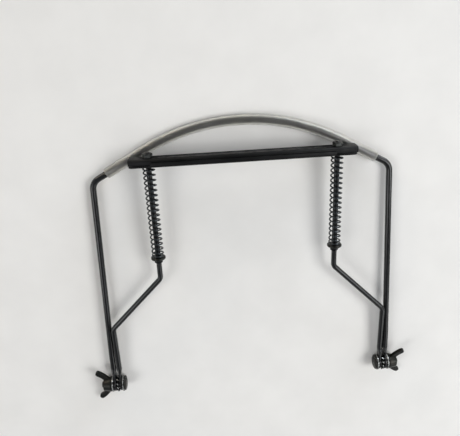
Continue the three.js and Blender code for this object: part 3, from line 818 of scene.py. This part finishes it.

# %% [markdown]
# ## The springs
# A coil spring is a rule too. Geometry Nodes draw a spiral, then set each point's height again:
# the first and last turns climb slowly, so they lie close, and the turns between share what is
# left. The sweep stores how far along the wire and how far round it each point is, for the
# material. The jaw slides down its rails and presses the springs together. Here each spring is
# wound at its full height and gets a mesh of its own.

# %% Write the rule for a spring
winding, given = new_tree("coil_spring", Coil_Radius=3.5, Wire_Radius=0.5, Turns=19.0,
                          Height=60.8, End_Turn_Pitch=1.8, Finish=None)
spiral = add_node(winding, "GeometryNodeCurveSpiral", {
    "Resolution": 28, "Rotations": given["Turns"], "Start Radius": given["Coil Radius"],
    "End Radius": given["Coil Radius"], "Height": given["Height"]})[0]
parameter = add_node(winding, "GeometryNodeSplineParameter")
sums = dict(given.items(), Factor=parameter["Factor"])
for result, first, operation, second in (
    ("turn now", "Factor", "MULTIPLY", "Turns"),
    ("first turn", "turn now", "MINIMUM", 1),
    ("past last", "turn now", "SUBTRACT", "Turns"),
    ("into last", "past last", "ADD", 1),
    ("last turn", "into last", "MAXIMUM", 0),
    ("closed turns", "first turn", "ADD", "last turn"),
    ("open turns", "turn now", "SUBTRACT", "closed turns"),
    ("wire width", "Wire Radius", "MULTIPLY", 2),
    ("closed rise", "End Turn Pitch", "MULTIPLY", 2),
    ("inside height", "Height", "SUBTRACT", "wire width"),
    ("open rise", "inside height", "SUBTRACT", "closed rise"),
    ("open count", "Turns", "SUBTRACT", 2),
    ("pitch", "open rise", "DIVIDE", "open count"),
    ("closed height", "closed turns", "MULTIPLY", "End Turn Pitch"),
    ("open height", "open turns", "MULTIPLY", "pitch"),
    ("climbed", "closed height", "ADD", "open height"),
    ("new height", "climbed", "ADD", "Wire Radius"),
):
    pair = [sums.get(value, value) for value in (first, second)]
    sums[result] = add_node(winding, "ShaderNodeMath", pair, operation=operation)[0]
position = add_node(winding, "GeometryNodeInputPosition")[0]
x, y, _ = add_node(winding, "ShaderNodeSeparateXYZ", (position,))
new_position = add_node(winding, "ShaderNodeCombineXYZ", (x, y, sums["new height"]))[0]
coil = add_node(winding, "GeometryNodeSetPosition", {
    "Geometry": spiral, "Position": new_position})[0]
section = add_node(winding, "GeometryNodeCurvePrimitiveCircle", {
    "Resolution": 12, "Radius": given["Wire Radius"]})["Curve"]
coil, section = [
    add_node(winding, "GeometryNodeStoreNamedAttribute", {
        "Geometry": curve, "Name": mark, "Value": value}, data_type="FLOAT", domain="POINT")[0]
    for curve, mark, value in ((coil, "along_wire", parameter["Length"]),
                               (section, "around_wire", parameter["Factor"]))]
wire = add_node(winding, "GeometryNodeCurveToMesh", {
    "Curve": coil, "Profile Curve": section, "Fill Caps": True})[0]
end_tree(winding, wire, given["Finish"])
print("the spring tree has", len(winding.nodes), "nodes")

# %% Wind the springs
spring_low, spring_high = 98.8, 159.6
spring = grown(winding, Height=spring_high - spring_low, Finish=spring_wire)
for side, x in (("right", rail), ("left", -rail)):
    place = cradle_plane @ shift(x, spring_low) @ up_the_rail
    piece = add_piece("wound_spring_" + side, spring, place, "cradle", "spring_" + side,
                      spring_wire, sharp=60)
    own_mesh(piece)

# %% [markdown]
# ## Seats and nuts on the rails
# Each spring stands on a thick washer that rests on the ears. The fixed jaw is held by a small
# hexagon nut whose corners are turned off, so that the top shows the usual arcs.

# %% Make the seats and the nuts
def hexagon_nut(across_flats, height, bore):
    """A nut from height 0 up, cut from hexagon bar by a cone. The cone is turned a little, so that
    none of its corners falls on one of the bar's."""
    radius = across_flats / 2 / math.cos(math.pi / 6)
    cone_from, cone_in = height - 1.0, radius - 0.55
    chamfer_from, chamfer_out = height - 0.35, bore + 0.4
    past = 0.05
    bar = turned([(0, 0), (radius, 0), (radius, height), (0, height)], 6)
    cone = turned([(0, -1), (radius + 1, -1), (radius + 1, cone_from), (cone_in, height),
                   (0, height)], 96)
    countersink = turned([(0, chamfer_from), (bore, chamfer_from), (chamfer_out, height + past),
                          (0, height + past)])
    nut = carved(bar, "INTERSECT", moved(cone, Matrix.Rotation(math.radians(1.1), 4, "Z")))
    nut = cut(nut, drill(bore, -1, height + 1), countersink)
    return shaped(nut, ("WELD", {"merge_threshold": 0.004}))


seat_height, gap = 97, 0.3
seat = washer(outer=4.8, inner=2.05, thick=1.5, edge=0.5)
jaw_nut = hexagon_nut(across_flats=5.5, height=2.4, bore=1.55)
for side, x in (("right", rail), ("left", -rail)):
    seat_place = cradle_plane @ shift(x, seat_height) @ up_the_rail
    nut_place = cradle_plane @ shift(x, fixed_top + gap) @ up_the_rail
    add_piece("turned_seat_" + side, seat, seat_place, "cradle", "spring_seat_" + side,
              turned_zinc)
    add_piece("hexagon_nut_" + side, jaw_nut, nut_place, "cradle", "jaw_nut_" + side,
              turned_zinc)

# %% [markdown]
# ## The pivot hardware
# From the inside out, each pivot has a domed slotted bolt, a flat washer, the arm's eye, a toothed
# washer, the yoke's eye, a flat washer and a wing nut. Drawn upright with the head at the bottom,
# one set serves both sides: a quarter turn lays it along X, outwards on either side. Each has its
# own distance from the middle of the holder.

# %% Place things on a pivot
bolt_at, head_washer_at, toothed_washer_at, nut_washer_at, wing_nut_at = 92, 92.3, 96.3, 99.7, 100.8


def on_pivot(side, distance, plane=cradle_plane):
    """Lays an upright piece along the hinge line, at that distance from the middle."""
    sign = 1 if side == "right" else -1
    lay = Matrix.Rotation(sign * math.pi / 2, 4, "Y")
    return plane @ shift(sign * distance) @ lay


print("the right bolt's head is at", [round(v, 4) for v in on_pivot("right", bolt_at).translation])

# %% Make the bolts
head_radius, head_height, head_rim, broken = 5.2, 1.9, 0.6, 0.12
shank_radius, core_radius, slot_size = 2.4, 2.0, (1.2, 12, 1.8)
thread_from, core_to, thread_to = 4.4, 4.8, 15.9
dome = [(head_radius * math.sin(math.radians(a)),
         -head_rim - (head_height - head_rim) * math.cos(math.radians(a))) for a in range(0, 91, 6)]
dome[0] = (0, -head_height)
under = [(head_radius, -broken), (head_radius - broken, 0), (shank_radius, 0),
         (shank_radius, thread_from), (core_radius, core_to), (0, core_to)]
slot_box = bmesh.new()
bmesh.ops.create_cube(slot_box, size=1, matrix=Matrix.Diagonal((*slot_size, 1)))
slot_cutter = moved(mesh_of(slot_box), shift(z=-head_height))
bolt = shaped(cut(turned(dome + under), slot_cutter), bevel(0.08, 50))
thread = threaded_shank(shank_radius, pitch=0.8, length=thread_to - thread_from, chamfer=0.6,
                        finish=turned_zinc)
bolt = joined(bolt, moved(thread, shift(z=thread_from)))
for side in ("right", "left"):
    add_piece("slotted_bolt_" + side, bolt, on_pivot(side, bolt_at), "cradle",
              "pivot_bolt_" + side, turned_zinc)

# %% Make the flat washers
flat_washer = washer(outer=washer_radius, inner=pivot_hole, thick=0.8, edge=0.2)
for side in ("right", "left"):
    add_piece("head_side_washer_" + side, flat_washer, on_pivot(side, head_washer_at), "cradle",
              "head_washer_" + side, rubbed_zinc)
    add_piece("nut_side_washer_" + side, flat_washer, on_pivot(side, nut_washer_at, yoke_plane),
              "yoke", "nut_washer_" + side, rubbed_zinc)

# %% [markdown]
# ## The toothed washers
# A toothed lock washer is a thin ring whose rim is cut into teeth, and each tooth is twisted so
# that its edges bite into both eyes. The teeth repeat round a circle, so Geometry Nodes place
# copies of one tooth, each turned by its share of the circle.

# %% Write the rule for the teeth
toothing, given = new_tree("toothed_ring", Teeth=12, Reach=5.65, Tooth_Length=2.1,
                           Tooth_Width=1.5, Thickness=0.7, Twist=38.0, Finish=None)
size = add_node(toothing, "ShaderNodeCombineXYZ", (
    given["Tooth Length"], given["Tooth Width"], given["Thickness"]))[0]
tooth = add_node(toothing, "GeometryNodeMeshCube", {"Size": size})["Mesh"]
twist = add_node(toothing, "ShaderNodeMath", (given["Twist"],), operation="RADIANS")[0]
rolled = add_node(toothing, "ShaderNodeCombineXYZ", {"X": twist})[0]
half_tooth = add_node(toothing, "ShaderNodeMath", (given["Tooth Length"], 2),
                      operation="DIVIDE")[0]
middle = add_node(toothing, "ShaderNodeMath", (given["Reach"], half_tooth),
                  operation="SUBTRACT")[0]
outwards = add_node(toothing, "ShaderNodeCombineXYZ", {"X": middle})[0]
twisted = add_node(toothing, "GeometryNodeTransform", {
    "Geometry": tooth, "Translation": outwards, "Rotation": rolled})[0]

spots = add_node(toothing, "GeometryNodeMeshLine", {
    "Count": given["Teeth"], "Offset": (0, 0, 0)})[0]
index = add_node(toothing, "GeometryNodeInputIndex")[0]
turns = add_node(toothing, "ShaderNodeMath", (index, 2 * math.pi), operation="MULTIPLY")[0]
angle = add_node(toothing, "ShaderNodeMath", (turns, given["Teeth"]), operation="DIVIDE")[0]
turned_round = add_node(toothing, "ShaderNodeCombineXYZ", {"Z": angle})[0]
teeth = add_node(toothing, "GeometryNodeInstanceOnPoints", {
    "Points": spots, "Instance": twisted, "Rotation": turned_round})[0]
whole = add_node(toothing, "GeometryNodeJoinGeometry", {"Geometry": teeth})[0]
fill(toothing, whole.node, {"Geometry": given["Geometry"]})
end_tree(toothing, whole, given["Finish"])
print("the tooth tree has", len(toothing.nodes), "nodes")

# %% Set the teeth
ring_thickness = 0.7
inner_ring = washer(outer=4.3, inner=pivot_hole, thick=ring_thickness, edge=0.1)
inner_ring = moved(inner_ring, shift(z=-ring_thickness / 2))
toothed = shaped(grown(toothing, inner_ring, Finish=rubbed_zinc), bevel(0.06, 50, segments=1))
for side in ("right", "left"):
    add_piece("toothed_washer_" + side + "_cut", toothed, on_pivot(side, toothed_washer_at),
              "cradle", "toothed_washer_" + side, rubbed_zinc)

# %% [markdown]
# ## The wing nuts
# Wing nuts are cast, so a soft fillet joins each wing to the hub and no edge is sharp. A fillet
# round such a joint is hard to bevel. Instead the rough shapes are pushed into each other, Remesh
# turns them into one skin of even cells, and Smooth melts the corners as a casting's are. The bore
# is drilled afterwards, so its edge stays crisp.

# %% Cast the wing nuts
def curve_points(start, control, end, steps=12):
    """Points along a quadratic curve, without its start."""
    shares = [step / steps for step in range(1, steps + 1)]
    return [tuple((1 - t) ** 2 * a + 2 * t * (1 - t) * b + t * t * c
                  for a, b, c in zip(start, control, end)) for t in shares]


hub_height, nut_height, wing_reach, tip_radius = 6.0, 10.4, 12.8, 2.0
wing_low, wing_high, wing_root, wing_thickness = 1.0, 5.5, 2.2, 2.3
tip_y, tip_z = wing_reach - tip_radius, nut_height - tip_radius
wing_outline = [(wing_root, wing_low), (5.2, wing_low)]
wing_outline += curve_points((5.2, wing_low), (tip_y, 4.7), (wing_reach, tip_z))
wing_outline += arc(tip_y, tip_z, tip_radius, 0, 135, 10)[1:]
wing_outline += curve_points(wing_outline[-1], (6.4, wing_high), (4.4, wing_high))
wing_outline += [(wing_root, wing_high)]
wing = pulled(wing_outline, -wing_thickness / 2, wing_thickness / 2, "yzx")
opposite = moved(wing.copy(), Matrix.Rotation(math.pi, 4, "Z"))
hub = turned([(0, 0), (5.4, 0), (5.4, 1.0), (4.4, 5.8), (4.2, hub_height), (0, hub_height)])
cast = shaped(joined(hub, wing, opposite),
              ("REMESH", {"mode": "VOXEL", "voxel_size": 0.17, "use_smooth_shade": True}),
              ("SMOOTH", {"factor": 0.5, "iterations": 6}))

# %% Drill the wing nuts
bore, mouth, mouth_depth, past = 2.6, 3.1, 0.45, 0.1
inner_mouth = turned([(0, -past), (mouth, -past), (bore, mouth_depth), (0, mouth_depth)])
outer_mouth = turned([(0, hub_height - mouth_depth), (bore, hub_height - mouth_depth),
                      (mouth, hub_height + past), (0, hub_height + past)])
wing_nut = cut(cast, drill(bore, -1, hub_height + 1), inner_mouth, outer_mouth)
for side, wing_turn in (("right", 20), ("left", 10)):
    place = on_pivot(side, wing_nut_at, tilted_plane(math.radians(wing_turn)))
    add_piece("cast_wing_nut_" + side, wing_nut, place,
              "wing_nut_" + side, "wing_nut_" + side, cast_zinc, sharp=50)

# %% [markdown]
# ## The floor and the light
# The holder lies on a plain pale floor. Black gloss shows what it reflects, so the lamps matter
# more for their shape than for their strength. Two low strips beyond the neck end draw the streaks
# along the sleeve. Their spread is narrow, as behind a louvre, so they don't burn the floor in
# front of them. A panel high on the right lights the floor and draws the streaks on the legs, and
# weaker ones keep the shadows open.
#
# Far away, the floor and the air turn pale for the camera's rays and for those in gloss and clear
# vinyl. The background is then pale in every view, and no lamp had to come up for it.

# %% Lay the floor
def background_rays(tree):
    """1 for the rays that see a background, and 0 for those that only carry light."""
    ray = add_node(tree, "ShaderNodeLightPath")
    seen = ray["Is Camera Ray"]
    for kind in ("Is Glossy Ray", "Is Transmission Ray"):
        seen = add_node(tree, "ShaderNodeMath", (seen, ray[kind]), operation="MAXIMUM")[0]
    return seen


floor_half, pale_from, pale_to = 3, 0.5, 1.2
floor_corners = [(x, y, 0) for x, y in ((-floor_half, -floor_half), (floor_half, -floor_half),
                                        (floor_half, floor_half), (-floor_half, floor_half))]
floor_mesh = bpy.data.meshes.new("floor")
floor_mesh.from_pydata(floor_corners, [], [(0, 1, 2, 3)])
floor = bpy.data.objects.new("floor", floor_mesh)
scene.collection.objects.link(floor)
paper, tree, shader = new_material("pale_matte_paper", Roughness=0.9, Specular_IOR_Level=0.2)
fill(tree, shader, {"Base Color": two_tone(tree, 30, "#E7E6E3", "#EBEAE7", Detail=4)})
where = add_node(tree, "ShaderNodeTexCoord")["Object"]
away = add_node(tree, "ShaderNodeVectorMath", (where,), operation="LENGTH")["Value"]
far = add_node(tree, "ShaderNodeMapRange", (away, pale_from, pale_to, 0, 1))[0]
share = add_node(tree, "ShaderNodeMath", (far, background_rays(tree)), operation="MULTIPLY")[0]
pale = add_node(tree, "ShaderNodeEmission", {"Color": "#E6E5E2"})["Emission"]
surface = add_node(tree, "ShaderNodeMixShader", (share, shader.outputs["BSDF"], pale))["Shader"]
fill(tree, tree.nodes["Material Output"], {"Surface": surface})
paper.cycles.emission_sampling = "NONE"
floor_mesh.materials.append(paper)
print("the floor turns pale from", pale_from, "to", pale_to, "m away")


# %% Hang the lamps
def add_panel(name, size, place, target, watts, colour="#FFFFFF", spread=180):
    """A soft box of that size in metres, which faces its target. Its spread is in degrees."""
    lamp = bpy.data.lights.new(name, "AREA")
    lamp.shape = "RECTANGLE"
    lamp.size, lamp.size_y = size
    lamp.energy = watts
    lamp.color = linear(colour)[:3]
    lamp.spread = math.radians(spread)
    holder = bpy.data.objects.new(name, lamp)
    holder.location = place
    holder.rotation_euler = (Vector(target) - Vector(place)).to_track_quat("-Z", "Y").to_euler()
    scene.collection.objects.link(holder)
    print(name, "gives", watts, "W from", tuple(place))


middle = (0, 0, 0)
add_panel("right_panel", (0.6, 0.6), (0.8, 0.02, 0.9), middle, 7.3)
add_panel("right_neck_strip", (0.75, 0.24), (0.7, 0.86, 0.17), (0.05, 0.08, 0), 1.0, "#F2F7FF", 60)
add_panel("left_neck_strip", (0.65, 0.18), (-0.62, 0.86, 0.17), (-0.05, 0.08, 0), 0.45, "#FFF0DA",
          60)
add_panel("near_panel", (0.3, 0.4), (0.5, -0.5, 0.5), middle, 0.9)
add_panel("left_panel", (0.5, 0.5), (-0.75, -0.2, 0.75), middle, 3.2)

# %% Fill the air
air_strength, pale_extra, pale_below, plain_above = 0.3, 0.48, 0.3, 0.8
world = bpy.data.worlds.new("studio_air")
world.use_nodes = True
tree = world.node_tree
generated = add_node(tree, "ShaderNodeTexCoord")["Generated"]
steepness = add_node(tree, "ShaderNodeSeparateXYZ", (generated,))["Z"]
extra = add_node(tree, "ShaderNodeMapRange", (steepness, pale_below, plain_above, pale_extra, 0))[0]
strength = add_node(tree, "ShaderNodeMath", (background_rays(tree), extra, air_strength),
                    operation="MULTIPLY_ADD")[0]
fill(tree, tree.nodes["Background"], {"Color": "#F2F4F7", "Strength": strength})
scene.world = world
print("the air's strength is", air_strength, "and up to", air_strength + pale_extra, "where seen")
